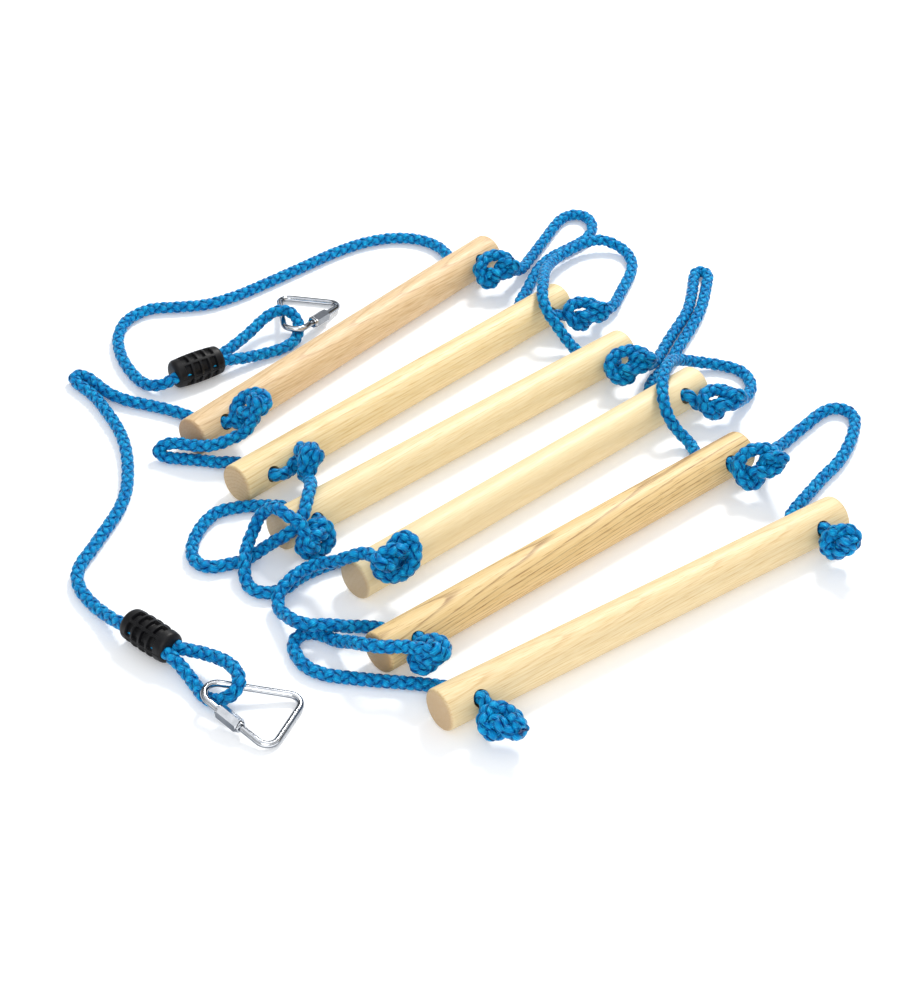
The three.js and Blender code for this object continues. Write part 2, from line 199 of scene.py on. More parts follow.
def newPiece(name, mesh, finish):
    mesh.name = name
    mesh.materials.clear()
    mesh.materials.append(finish)
    return addObject(name, mesh)


def skin(rings):
    # walls between rings of points, with a lid on each end
    bm = bmesh.new()
    rings = [[bm.verts.new(point) for point in ring] for ring in rings]
    for a, b in zip(rings, rings[1:]):
        for k in range(len(a)):
            bm.faces.new((a[k], a[k - 1], b[k - 1], b[k]))
    bm.faces.new(rings[0])
    bm.faces.new(list(reversed(rings[-1])))
    bmesh.ops.recalc_face_normals(bm, faces=bm.faces)
    mesh = bpy.data.meshes.new("skin")
    bm.to_mesh(mesh)
    bm.free()
    return mesh


def circleAngles(sides):
    return [2 * math.pi * k / sides for k in range(sides)]


def lathe(profile, sides):
    # turns (length, radius) pairs about X
    angles = circleAngles(sides)
    return skin([[(x, radius * math.cos(a), radius * math.sin(a)) for a in angles] for x, radius in profile])


def cylinderMesh(start, end, radius, sides):
    start, end = Vector(start), Vector(end)
    turn = (end - start).to_track_quat("Z", "Y").to_matrix().to_4x4()
    bm = bmesh.new()
    bmesh.ops.create_cone(
        bm, cap_ends=True, segments=sides, radius1=radius, radius2=radius, depth=(end - start).length,
        matrix=Matrix.Translation((start + end) / 2) @ turn,
    )
    mesh = bpy.data.meshes.new("cutter")
    bm.to_mesh(mesh)
    bm.free()
    return mesh


def cut(piece, cutters, operation="DIFFERENCE"):
    # booleans, applied at once
    tools = []
    for mesh in cutters:
        tool = addObject("cutter", mesh)
        modifier = piece.modifiers.new("cut", "BOOLEAN")
        modifier.operation = operation
        modifier.solver = "EXACT"
        modifier.object = tool
        tools.append(tool)
    bpy.context.view_layer.update()
    mesh = bpy.data.meshes.new_from_object(piece.evaluated_get(bpy.context.evaluated_depsgraph_get()))
    piece.modifiers.clear()
    old = piece.data
    mesh.name = old.name
    piece.data = mesh
    bpy.data.meshes.remove(old)
    for tool in tools:
        data = tool.data
        bpy.data.objects.remove(tool)
        bpy.data.meshes.remove(data)


def softShade(mesh, degrees):
    mesh.shade_smooth()
    mesh.set_sharp_from_angle(angle=math.radians(degrees))


rungSettings = {
    "radius": 14.85,
    "length": 347.0,
    "axisHeight": 14.85,
    "edgeRound": 2.6,
    "sides": 72,
    "holeRadius": 6.1,
    "holeInset": 25.0,
    "places": [
        {"x": 33, "y": 193, "turn": 6.9, "tilt": 27},
        {"x": 22, "y": 112, "turn": 2.6, "tilt": 14},
        {"x": 10, "y": 39, "turn": -0.7, "tilt": 18},
        {"x": 14, "y": -36, "turn": 0.0, "tilt": 28},
        {"x": -24, "y": -110, "turn": -2.2, "tilt": 25},
        {"x": -33, "y": -193, "turn": -7.2, "tilt": 27},
    ],
}

# each rung's own timber: where the tree's heart lies from the rung's middle, in metres, and the tones
rungLooks = [
    {"roll": 0.3, "heart": (0, 0.030, -0.05), "lean": 0.015, "ringGap": 0.0015, "wander": 0.05,
     "pores": 0.5, "lineStrength": 0.74,
     "pale": (0.72, 0.54, 0.32), "warm": (0.62, 0.42, 0.21), "line": (0.42, 0.24, 0.11)},
    {"roll": 0.9, "heart": (0.03, 0.004, -0.022), "lean": 0.05, "ringGap": 0.0030, "wander": 0.10,
     "pores": 0.3, "lineStrength": 0.75,
     "pale": (0.80, 0.65, 0.38), "warm": (0.74, 0.56, 0.27), "line": (0.56, 0.35, 0.14)},
    {"roll": 1.5, "heart": (0, 0.026, -0.034), "lean": 0.02, "ringGap": 0.0024, "wander": 0.06,
     "pores": 0.4, "lineStrength": 0.57,
     "pale": (0.80, 0.66, 0.40), "warm": (0.74, 0.575, 0.30), "line": (0.62, 0.43, 0.20)},
    {"roll": 2.2, "heart": (0, 0.040, -0.02), "lean": 0.015, "ringGap": 0.0034, "wander": 0.06,
     "pores": 0.25, "lineStrength": 0.38,
     "pale": (0.81, 0.67, 0.41), "warm": (0.765, 0.605, 0.33), "line": (0.68, 0.50, 0.26)},
    {"roll": 0.4, "heart": (0.02, 0.003, -0.021), "lean": 0.05, "ringGap": 0.0024, "wander": 0.2,
     "pores": 0.6, "lineStrength": 1,
     "pale": (0.75, 0.56, 0.28), "warm": (0.68, 0.47, 0.20), "line": (0.27, 0.14, 0.045)},
    {"roll": 0.2, "heart": (0, 0.010, -0.024), "lean": 0.01, "ringGap": 0.0018, "wander": 0.05,
     "pores": 0.45, "lineStrength": 0.6,
     "pale": (0.80, 0.645, 0.38), "warm": (0.735, 0.55, 0.28), "line": (0.58, 0.36, 0.15)},
]


def holePoint(index, side, distance):
    place = rungSettings["places"][index]
    turn = math.radians(place["turn"])
    tilt = math.radians(place["tilt"])
    along = (-1 if side == "left" else 1) * (rungSettings["length"] / 2 - rungSettings["holeInset"])
    return (
        place["x"] + along * math.cos(turn) + distance * math.cos(tilt) * math.sin(turn),
        place["y"] + along * math.sin(turn) - distance * math.cos(tilt) * math.cos(turn),
        rungSettings["axisHeight"] + distance * math.sin(tilt),
    )


def makeWoodFinish(name, place, look, grainGroup):
    material, tree, shader = newMaterial(name)
    s = rungSettings
    coords = addNode(tree, "ShaderNodeTexCoord").outputs["Object"]
    middle = tuple(mm((place["x"], place["y"], s["axisHeight"])))
    centred = addNode(tree, "ShaderNodeVectorMath", {0: coords, 1: middle}, operation="SUBTRACT").outputs[0]
    turned = {"Vector": centred, "Rotation": (look["roll"], 0, math.radians(-place["turn"]))}
    along = addNode(tree, "ShaderNodeMapping", turned).outputs[0]
    grain = addNode(tree, "ShaderNodeGroup", {
        "Vector": along, "Heart": look["heart"], "Lean": look["lean"],
        "Ring gap": look["ringGap"], "Wander": look["wander"],
    }, node_tree=grainGroup).outputs
    # late wood darkens towards each ring's edge, broken up by the streaks
    rise = stretch(tree, grain["Rings"], 0.7, 0.95, kind="SMOOTHSTEP")
    late = mathNode(tree, "MULTIPLY", rise, stretch(tree, grain["Rings"], 0.95, 1.0, 1.0, 0.0))
    dots = stretch(tree, grain["Streaks"], 0.35, 0.65)
    broken = mathNode(tree, "ADD", mathNode(tree, "MULTIPLY", dots, 0.7), 0.3)
    late = mathNode(tree, "MULTIPLY", mathNode(tree, "MULTIPLY", late, broken), look["lineStrength"])
    colour = mixNode(tree, "MIX", dots, look["pale"], look["warm"])
    colour = mixNode(tree, "MIX", late, colour, look["line"])
    # the rung's ends and their rounded edges are darker
    reach = mathNode(tree, "ABSOLUTE", addNode(tree, "ShaderNodeSeparateXYZ", {0: along}).outputs[0])
    tip = s["length"] / 2
    end = stretch(tree, reach, (tip - 2.2) * scale, (tip - 0.2) * scale, 0.0, 0.9)
    colour = mixNode(tree, "MULTIPLY", end, colour, (0.60, 0.52, 0.50))
    pores = stretch(tree, grain["Streaks"], 0.63, 0.70, 0.0, look["pores"])
    setInputs(tree, shader, {
        "Base Color": mixNode(tree, "MIX", pores, colour, look["line"]),
        "Roughness": stretch(tree, grain["Streaks"], 0.0, 1.0, 0.38, 0.58),
        "Normal": bump(tree, grain["Streaks"], 0.25, 0.0003),
        "Specular IOR Level": 0.5,
    })
    return material


def roundEnd(half, radius, edge, steps):
    corner = []
    for i in range(steps + 1):
        angle = math.pi / 2 * i / steps
        corner.append((half - edge + edge * math.sin(angle), radius - edge + edge * math.cos(angle)))
    return corner


def makeRungs(grainGroup):
    s = rungSettings
    half = s["length"] / 2
    for i, place in enumerate(s["places"]):
        right = roundEnd(half, s["radius"], s["edgeRound"], 6)
        profile = [(-x, r) for x, r in reversed(right)] + right
        mesh = lathe([(x * scale, r * scale) for x, r in profile], s["sides"])
        turn = Matrix.Rotation(math.radians(place["turn"]), 4, "Z")
        middle = Vector((place["x"], place["y"], s["axisHeight"])) * scale
        mesh.transform(Matrix.Translation(middle) @ turn)
        finish = makeWoodFinish(f"rungWood{i + 1}", place, rungLooks[i], grainGroup)
        piece = newPiece(f"turnedRung_{i + 1}", mesh, finish)
        cutters = []
        for side in bothSides:
            start = mm(holePoint(i, side, -s["radius"] - 4))
            end = mm(holePoint(i, side, s["radius"] + 4))
            cutters.append(cylinderMesh(start, end, s["holeRadius"] * scale, 40))
        cut(piece, cutters)
        softShade(piece.data, 35)
        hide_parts(f"rung_{i + 1}")
        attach(piece, f"rung_{i + 1}")


clampSettings = {
    "length": 42.0,
    "radius": 12.0,
    "barrel": 0.10,  # share of the radius lost towards the ends
    "height": 12.2,
    "strandSpacing": 9.6,
    "tailInside": 13.0,
    "endRound": 3.5,
    "grooves": (-10.8, -3.6, 3.6, 10.8),
    "grooveWidth": 4.9,
    "ribs": 6,
    "ribWidth": 2.6,
    "pocketDepth": 2.4,
    "seamDepth": 0.35,
    "lengthSteps": 150,
    "sides": 168,
    "places": {
        "left": {"x": -294, "y": 15, "heading": -84.8},
        "right": {"x": -77, "y": 247, "heading": -9.1},
    },
}


def strandPoint(side, along, strand):
    place = clampSettings["places"][side]
    heading = math.radians(place["heading"])
    across = strand * clampSettings["strandSpacing"] / 2
    return (
        place["x"] + along * math.cos(heading) - across * math.sin(heading),
        place["y"] + along * math.sin(heading) + across * math.cos(heading),
        clampSettings["height"],
    )


def makeClampFinish():
    material, tree, shader = newMaterial("blackMoulding")
    coords = addNode(tree, "ShaderNodeTexCoord").outputs["Object"]
    speckle = noise(tree, coords, 900, 3)
    scuffs = noise(tree, coords, 120, 5)
    setInputs(tree, shader, {
        "Base Color": ramp(tree, scuffs, [(0.35, (0.002, 0.002, 0.003)), (0.75, (0.008, 0.008, 0.009))]),
        "Roughness": stretch(tree, scuffs, 0.0, 1.0, 0.32, 0.6),
        "Normal": bump(tree, speckle, 0.3, 0.0002),
        "Specular IOR Level": 0.25,
    })
    return material


def smoothPulse(value, middle, halfWidth, soft):
    inside = (halfWidth - abs(value - middle)) / soft + 0.5
    inside = min(1.0, max(0.0, inside))
    return inside * inside * (3 - 2 * inside)


def clampRadius(x, angle):
    # a barrel with rounded ends, pockets between its ribs, and a seam along each side
    s = clampSettings
    half = s["length"] / 2
    corner = max(0.0, abs(x) - (half - s["endRound"]))
    inset = s["endRound"] - math.sqrt(max(0.0, s["endRound"] ** 2 - corner ** 2))
    groove = max(smoothPulse(x, middle, s["grooveWidth"] / 2, 0.7) for middle in s["grooves"])
    ribAngle = 2 * math.pi / s["ribs"]
    fromRib = abs((angle / ribAngle + 0.5) % 1 - 0.5) * ribAngle * s["radius"]
    pocket = 1 - smoothPulse(fromRib, 0, s["ribWidth"] / 2, 0.6)
    fromSeam = min(abs(angle - seam) for seam in (0, math.pi, 2 * math.pi)) * s["radius"]
    seam = smoothPulse(fromSeam, 0, 0.25, 0.25)
    body = s["radius"] * (1 - s["barrel"] * (x / half) ** 2) - inset
    return body - s["pocketDepth"] * groove * pocket - s["seamDepth"] * seam


def makeClamps(finish):
    s = clampSettings
    half = s["length"] / 2
    rings = []
    for i in range(s["lengthSteps"] + 1):
        x = -half + i * s["length"] / s["lengthSteps"]
        turned = [(angle, clampRadius(x, angle)) for angle in circleAngles(s["sides"])]
        rings.append([(x, radius * math.cos(angle), radius * math.sin(angle)) for angle, radius in turned])
    for side, place in s["places"].items():
        mesh = skin(rings)
        mesh.transform(Matrix.Diagonal((scale, scale, scale, 1)))
        turn = Matrix.Rotation(math.radians(place["heading"]), 4, "Z")
        mesh.transform(Matrix.Translation(Vector((place["x"], place["y"], s["height"])) * scale) @ turn)
        piece = newPiece(f"ropeClamp_{side}", mesh, finish)
        # three mouths for the rope: the lead below, and both legs of the eye above
        bore = (ropeSettings["diameter"] / 2 + 0.3) * scale
        spans = [(-1, -half - 2, -half + 7), (-1, half - 7, half + 2), (1, half - 7, half + 2)]
        mouths = [[mm(strandPoint(side, along, strand)) for along in span] for strand, *span in spans]
        cut(piece, [cylinderMesh(start, end, bore, 40) for start, end in mouths])
        softShade(piece.data, 40)
        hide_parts(f"clamp_{side}_upper", f"clamp_{side}_lower")
        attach(piece, "rung_1")


linkSettings = {
    "rodRadius": 2.4,
    "length": 60.0,
    "width": 48.0,
    "bowRadius": 9.5,
    "cornerRadius": 8.0,
    "pitch": 10.0,
    "lift": 13.4,
    "nutLength": 21.0,
    "nutFlats": 9.0,
    "nutStart": 9.5,
    "gateGap": 6.5,
    "places": {
        "left": {"x": -300, "y": -52, "heading": -65},
        "right": {"x": 11, "y": 236, "heading": 36.5},
    },
}


def makeSteelFinish(fibreGroup):
    material, tree, shader = newMaterial("zincedSteel")
    coords = addNode(tree, "ShaderNodeTexCoord").outputs["Object"]
    drawn = {"Vector": coords, "Across": 900, "Along": 120}
    scratches = addNode(tree, "ShaderNodeGroup", drawn, node_tree=fibreGroup).outputs[0]
    clouds = noise(tree, coords, 220, 3)
    tones = ramp(tree, clouds, [(0.3, (0.60, 0.62, 0.65)), (0.7, (0.80, 0.82, 0.84))])
    # painted reflection: a thin bright rod seen against a pale room, with dark lines painted along its sides
    facing = addNode(tree, "ShaderNodeLayerWeight", {"Blend": 0.5}).outputs["Facing"]
    paintedReflection = ramp(tree, facing, [
        (0.0, (1.0, 1.0, 1.0)), (0.22, (0.9, 0.9, 0.92)), (0.34, (0.16, 0.17, 0.19)), (0.5, (0.3, 0.32, 0.35)),
        (0.62, (0.85, 0.87, 0.9)), (0.76, (0.10, 0.11, 0.13)), (1.0, (0.05, 0.06, 0.07)),
    ])
    setInputs(tree, shader, {
        "Base Color": mixNode(tree, "MULTIPLY", 1.0, tones, paintedReflection),
        "Metallic": 1.0,
        "Roughness": stretch(tree, clouds, 0.0, 1.0, 0.08, 0.26),
        "Normal": bump(tree, scratches, 0.03, 0.0001),
    })
    return material


def linkMatrix(side):
    place = linkSettings["places"][side]
    matrix = Matrix.Translation(Vector((place["x"], place["y"], linkSettings["lift"])) * scale)
    matrix = matrix @ Matrix.Rotation(math.radians(place["heading"]), 4, "Z")
    return matrix @ Matrix.Rotation(math.radians(linkSettings["pitch"]), 4, "Y")


def linkOutline():
    # from one side of the gate round the wide side and the bow to its other side
    s = linkSettings
    bow = Vector((s["bowRadius"], 0, 0))
    corner = Vector((s["length"] - s["cornerRadius"], s["width"] / 2 - s["cornerRadius"], 0))
    between = corner - bow
    lean = math.asin((s["cornerRadius"] - s["bowRadius"]) / between.length)
    normal = math.atan2(between.y, between.x) + math.pi / 2 + lean
    side = Vector((math.cos(normal), -math.sin(normal), 0))
    barStart = bow + side * s["bowRadius"]
    low = Vector((corner.x, -corner.y, 0))
    barEnd = low + side * s["cornerRadius"]
    along = (barEnd - barStart).normalized()

    def arc(middle, radius, start, end, steps):
        angles = [start + (end - start) * i / steps for i in range(steps + 1)]
        return [middle + Vector((math.cos(a), math.sin(a), 0)) * radius for a in angles]

    gateNear = barStart + along * (s["nutStart"] + 1)
    gateFar = gateNear + along * s["gateGap"]
    points = [gateFar, gateFar + along * 2]
    points += arc(low, s["cornerRadius"], -normal, 0, 16)
    points += arc(corner, s["cornerRadius"], 0, normal, 16)
    points += arc(bow, s["bowRadius"], normal, 2 * math.pi - normal, 28)
    points += [gateNear - along * 2, gateNear]
    return points, barStart, along


def sweep(points, radius, sides, matrix):
    # a round rod along a flat outline, with its tips drawn in
    up = Vector((0, 0, 1))
    rings = []
    for i, point in enumerate(points):
        before = points[max(i - 1, 0)]
        after = points[min(i + 1, len(points) - 1)]
        out = (after - before).normalized().cross(up)
        tip = 0.75 if i in (0, len(points) - 1) else 1.0
        ring = [point + (out * math.cos(a) + up * math.sin(a)) * radius * tip for a in circleAngles(sides)]
        rings.append([matrix @ (place * scale) for place in ring])
    return skin(rings)


def makeNut(name, matrix, finish):
    # a turned sleeve with a collar at each end, cut to six flats and bored
    s = linkSettings
    half = s["nutLength"] / 2
    corner = s["nutFlats"] / math.sqrt(3)
    collar = s["nutFlats"] / 2 - 0.5
    left = [
        (-half, collar - 0.4), (-half + 0.4, collar), (-half + 1.4, collar), (-half + 1.5, corner - 0.9),
        (-half + 2.4, corner),
    ]
    profile = left + [(-x, radius) for x, radius in reversed(left)]
    nut = newPiece(name, lathe([(x * scale, radius * scale) for x, radius in profile], 72), finish)
    reach = half * scale * 1.2
    hexagon = cylinderMesh((-reach, 0, 0), (reach, 0, 0), corner * scale, 6)
    cut(nut, [hexagon], "INTERSECT")
    bore = cylinderMesh((-reach, 0, 0), (reach, 0, 0), (s["rodRadius"] + 0.15) * scale, 32)
    cut(nut, [bore])
    nut.data.transform(matrix)
    softShade(nut.data, 25)
    return nut


def makeLinks(finish):
    s = linkSettings
    points, barStart, along = linkOutline()
    middle = (barStart + along * (s["nutStart"] + s["nutLength"] / 2)) * scale
    onBar = Matrix.Translation(middle) @ along.to_track_quat("X", "Z").to_matrix().to_4x4()
    for side in bothSides:
        matrix = linkMatrix(side)
        rod = newPiece(f"deltaLink_{side}", sweep(points, s["rodRadius"], 24, matrix), finish)
        softShade(rod.data, 50)
        nut = makeNut(f"sleeveNut_{side}", matrix @ onBar, finish)
        for piece, node in ((rod, f"link_{side}"), (nut, f"nut_{side}")):
            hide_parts(node)
            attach(piece, node)


ropeSettings = {
    "diameter": 9.2,
    "braidOver": 0.7,  # how far the braid's crowns stand out over the rope's own diameter
    "lay": 43.0,  # length in which a strand goes once round
    "strandWidth": 5.5,
    "strandThickness": 3.4,
    "weaveDepth": 0.95,
    "knotSwell": 1.07,
    "step": 1.1,
    "holeRunout": 3.5,
    "restHeight": 5.0,
    "foldX": {"left": -140, "right": 165},  # where the sections cross each fold
    "foldReach": 14,  # how far each way from a fold
    # tones run from painted shade in the gaps to painted light on the strand crowns
    "tones": [
        (0.35, (0.0, 0.012, 0.09)), (0.62, (0.0, 0.045, 0.22)), (0.84, (0.0, 0.13, 0.40)),
        (1.0, (0.0, 0.27, 0.60)),
    ],
    # colour of the painted highlight on the strand crowns
    "paintedGlint": (0.03, 0.62, 0.92),
    "patchTint": (0.55, 0.70, 0.86),
}

leadRoutes = {
    "left": [
        (-301, 47, 10), (-300, 60, 7), (-299, 76, 5), (-296, 94, 5), (-289, 108, 5), (-279, 117, 5),
        (-266, 124, 5), (-252, 132, 5), (-238, 140, 5), (-222, 150, 5), (-207, 163, 5), (-193, 180, 5),
        (-180, 199, 5), (-170, 218, 5), (-163, 237, 5), (-158, 256, 5), (-154, 273, 5),
        (-152.6, 288, 5), (-152.4, 302, 5), (-150, 309, 5), (-144.4, 309, 5), (-142, 302, 5),
        (-142.2, 288, 5), (-142.4, 273, 5), (-138, 256, 5), (-130, 240, 5), (-122, 224, 5),
        (-117, 210, 5), (-116, 199, 6),
    ],
    "right": [
        (-107, 248, 10), (-114, 257, 7), (-115, 271, 5), (-111, 292, 5), (-103, 313, 5), (-90, 333, 5),
        (-71, 347, 5), (-48, 348, 5), (-29, 335, 5), (-9, 322, 5), (15, 316, 5), (48, 314, 5),
        (84, 313, 5), (122, 312, 5), (150, 307, 5), (172, 296, 5), (186, 279, 5), (190, 261, 5),
        (187, 245, 5), (182, 232, 5.6),
    ],
}

ropeRoutes = {
    "left": [
        [
            (-113, 138, 27), (-126, 143, 22), (-137, 149, 19), (-146, 161, 17), (-152, 174, 15),
            (-158, 182, 12), (-163, 183, 7.5), (-160, 176, 5), (-153, 167, 5), (-144, 156, 5),
            (-136, 145, 5), (-130, 136, 7),
        ],
        [
            (-114, 66, 24), (-121, 55, 29), (-130, 44, 35.5), (-141, 34, 37), (-151, 26, 34),
            (-161, 23, 28), (-169, 27, 22), (-173, 34, 15), (-179, 40, 8), (-187, 42, 5),
            (-197, 43, 5), (-206, 47, 5), (-214, 51, 5), (-219, 59, 5), (-218, 69, 5), (-211, 79, 5),
            (-200, 88, 5), (-187, 95, 5), (-174, 98, 5), (-162, 94, 5), (-151, 87, 5), (-142, 79, 5),
            (-137, 70, 7),
        ],
        [
            (-163, 15, 37), (-168, 23, 42), (-168, 34, 42), (-168, 43, 37), (-172, 49, 29),
            (-180, 48, 20), (-189, 43, 16), (-198, 35, 14), (-205, 27, 8), (-209, 18, 5), (-208, 9, 5),
            (-202, 2, 5), (-191, -1, 5), (-178, 1, 5), (-164, 0, 5), (-150, -3, 5), (-139, -8, 5.4),
        ],
        [
            (-153, -42, 39), (-161, -35, 36), (-166, -23, 27), (-169, -11, 20), (-178, -5, 16),
            (-192, -6, 15), (-204, -9, 11), (-211, -18, 8), (-214, -30, 11), (-216, -42, 15),
            (-212, -53, 16.3), (-202, -60, 15), (-190, -64, 9), (-178, -70, 5.5), (-172, -79, 6),
        ],
        [
            (-191, -125, 31), (-202, -115, 31), (-206, -100, 26), (-204, -85, 17), (-204, -71, 9),
            (-204, -59, 5), (-209, -49, 5), (-218, -46, 5), (-226, -51, 5), (-231, -61, 5),
            (-233, -73, 5), (-229, -87, 5), (-219, -101, 5), (-207, -116, 5), (-195, -130, 5),
            (-186, -141, 5), (-180, -150, 5.4),
        ],
    ],
    "right": [
        [
            (197, 175, 17), (210, 179, 11), (228, 189, 7), (248, 199, 5), (268, 208, 5), (288, 217, 5),
            (301, 221, 5), (312, 219, 5), (317, 210, 5), (313, 198, 5), (304, 189, 5), (290, 183, 5),
            (268, 182, 5), (250, 182, 5), (232, 178, 5), (214, 169, 5), (197, 159, 5), (182, 150, 7),
            (173, 143, 9),
        ],
        [
            (211, 88, 13), (228, 91, 8), (246, 101, 5), (263, 110, 5), (279, 119, 5), (292, 130, 5),
            (299, 143, 6), (299, 155, 8), (292, 166, 11), (279, 172, 11), (264, 173, 11),
            (248, 171, 12), (232, 165, 15), (216, 155, 21), (201, 143, 28), (187, 130, 34),
            (175, 119, 37), (164, 108, 36), (159, 98, 31), (159, 88, 23), (161, 78, 13), (161, 68, 8),
        ],
        [
            (178, 5, 16), (195, 12, 9), (212, 21, 5), (231, 30, 5), (250, 38, 5), (268, 46, 5),
            (285, 57, 5), (301, 69, 5), (312, 78, 5), (320, 82.5, 5), (325, 79.4, 5), (323.2, 72.6, 5),
            (311, 63, 5), (296, 52, 5), (279, 41, 5), (262, 32, 5), (244.4, 24, 5), (227, 16.5, 5),
            (209, 8, 5), (190, 2, 5), (174, -3, 5), (164, -11, 5.4),
        ],
        [
            (197, -72, 12), (213, -67, 7), (226, -60, 5), (234, -50, 5), (237, -39, 5), (234, -28, 5),
            (227, -18, 6), (217, -11, 9), (205, -9, 15), (192, -11, 22), (179, -17, 30),
            (166, -25, 36), (153, -33, 38), (142, -42, 37), (134, -51, 32), (131, -60, 23),
            (134, -67, 13), (136, -76, 7), (132, -86, 6), (127, -93, 7),
        ],
        [
            (154, -136, 17), (170, -130, 11), (187, -126, 6), (204, -123, 5), (221, -121, 5),
            (238, -119, 5), (250, -121, 5), (256, -129, 5), (253, -140, 5), (242, -149, 5),
            (228, -157, 5), (212, -164, 5), (196, -169, 5), (179, -172, 5), (162, -176, 5),
            (145, -180, 5), (130, -184, 5), (120, -189, 6),
        ],
    ],
}

eyeRoutes = {
    "left": [
        (-296, -21, 9), (-297, -33, 6), (-299, -44, 5), (-300, -53, 5), (-296, -61, 7), (-290, -67, 12),
        (-283, -66, 17.2), (-278, -57, 18), (-276, -44, 16.5), (-278, -31, 14.5), (-282, -18, 12.6),
    ],
    "right": [
        (-41, 236, 9), (-22, 233, 6), (-4, 230, 5), (9, 232, 5), (18, 238, 6.6), (24, 246, 11),
        (22, 255, 16.6), (13, 260, 17.6), (0, 260, 15.5), (-16, 256, 13.2), (-36, 251, 12.3),
    ],
}

# One overhand knot, in rope diameters: the rope comes in from the left, goes round and back
# through its own loop, and leaves to the right. The last number is the height above the middle.
knotShape = [
    (-1.6, -0.35, -0.35), (-1.15, -0.37, -0.5), (-0.5, -0.45, -0.1), (0.1, -0.45, 0.45),
    (0.75, -0.3, 0.25), (1.2, 0.2, -0.2), (1.1, 0.85, -0.5), (0.5, 1.35, -0.3), (-0.3, 1.25, 0.1),
    (-0.95, 0.75, 0.4), (-1.18, 0.0, 0.6), (-1.05, -0.8, 0.45), (-0.55, -1.33, 0.05),
    (-0.05, -1.1, -0.45), (0.1, -0.4, -0.6), (0.2, 0.25, -0.25), (0.6, 0.63, 0.4), (1.1, 0.8, 0.5),
    (1.55, 0.75, 0.3),
]

# How each knot sits: its middle, the way the rope runs through it, the way its face looks,
# and its size along, across and through.
knotSettings = {
    "left": [
        {"at": (-101, 149, 34), "along": (-0.3, -0.9, 0.4),
         "face": (-0.6, -0.5, 0.7), "size": (1.05, 1.1, 1.15)},
        {"at": (-105, 79.5, 28.5), "along": (0.3, -0.4, 0.9),
         "face": (0.7, -0.7, 0.0), "size": (1.12, 1.0, 1.05)},
        {"at": (-153, 12, 20), "along": (-0.8, -0.2, 0.7),
         "face": (-0.5, -0.6, 0.6), "size": (0.95, 0.9, 1.0)},
        {"at": (-139, -58, 38), "along": (-0.7, 0.2, 0.6),
         "face": (-0.4, -0.7, 0.6), "size": (1.0, 1.2, 1.1)},
        {"at": (-180.5, -135.5, 24.5), "along": (-0.4, -0.8, 0.4),
         "face": (-0.6, -0.5, 0.7), "size": (0.9, 0.9, 0.95)},
        {"at": (-185, -209, 17), "along": (-0.2, -1.0, 0.1),
         "face": (-0.2, -0.9, 0.4), "size": (0.95, 0.85, 1.05)},
    ],
    "right": [
        {"at": (181, 180, 22), "along": (0.5, -0.9, -0.1),
         "face": (-0.5, -0.5, 0.8), "size": (1.05, 1.05, 1.0)},
        {"at": (191, 86, 19), "along": (0.5, -0.9, 0.0),
         "face": (-0.5, -0.4, 0.9), "size": (1.2, 0.8, 1.1)},
        {"at": (157, 6, 25), "along": (0.4, -0.9, 0.2),
         "face": (-0.5, -0.5, 0.7), "size": (1.25, 0.95, 1.0)},
        {"at": (178, -69, 19), "along": (0.6, -0.8, 0.0),
         "face": (-0.5, -0.4, 0.9), "size": (1.15, 0.8, 1.1)},
        {"at": (131, -148, 25), "along": (0.5, -0.9, 0.1),
         "face": (-0.5, -0.5, 0.7), "size": (1.25, 1.1, 1.0)},
        {"at": (110, -242, 21), "along": (0.1, -1.0, 0.1),
         "face": (-0.7, -0.7, 0.1), "size": (0.8, 0.85, 1.1)},
    ],
}


def evenly(line, step):
    runs = np.concatenate([[0], np.cumsum(np.linalg.norm(np.diff(line, axis=0), axis=1))])
    at = np.linspace(0, runs[-1], max(2, int(round(runs[-1] / step)) + 1))
    return np.stack([np.interp(at, runs, line[:, k]) for k in range(3)], axis=1)


def smoothLine(points, step, softness=3.0):
    # an even, softened line through given points
    pts = np.array(points, float)
    gaps = np.maximum(np.linalg.norm(np.diff(pts, axis=0), axis=1), 1e-6) ** 0.5
    knotsAt = np.concatenate([[0], np.cumsum(gaps)])
    padded = np.vstack([2 * pts[0] - pts[1], pts, 2 * pts[-1] - pts[-2]])
    at = np.concatenate([[-gaps[0]], knotsAt, [knotsAt[-1] + gaps[-1]]])
    out = []
    for i in range(len(pts) - 1):
        p0, p1, p2, p3 = padded[i:i + 4]
        t0, t1, t2, t3 = at[i:i + 4]
        t = np.linspace(t1, t2, 24, endpoint=False)[:, None]
        a1 = (t1 - t) / (t1 - t0) * p0 + (t - t0) / (t1 - t0) * p1
        a2 = (t2 - t) / (t2 - t1) * p1 + (t - t1) / (t2 - t1) * p2
        a3 = (t3 - t) / (t3 - t2) * p2 + (t - t2) / (t3 - t2) * p3
        b1 = (t2 - t) / (t2 - t0) * a1 + (t - t0) / (t2 - t0) * a2
        b2 = (t3 - t) / (t3 - t1) * a2 + (t - t1) / (t3 - t1) * a3
        out.append((t2 - t) / (t2 - t1) * b1 + (t - t1) / (t2 - t1) * b2)
    line = np.vstack(out + [pts[-1:]])
    line = evenly(line, 1.0)
    reach = int(3 * softness)
    kernel = np.exp(-0.5 * (np.arange(-reach, reach + 1) / softness) ** 2)
    kernel /= kernel.sum()
    ends = np.vstack([2 * line[0] - line[reach:0:-1], line, 2 * line[-1] - line[-2:-reach - 2:-1]])
    soft = np.stack([np.convolve(ends[:, k], kernel, "valid") for k in range(3)], axis=1)
    return evenly(soft, step)


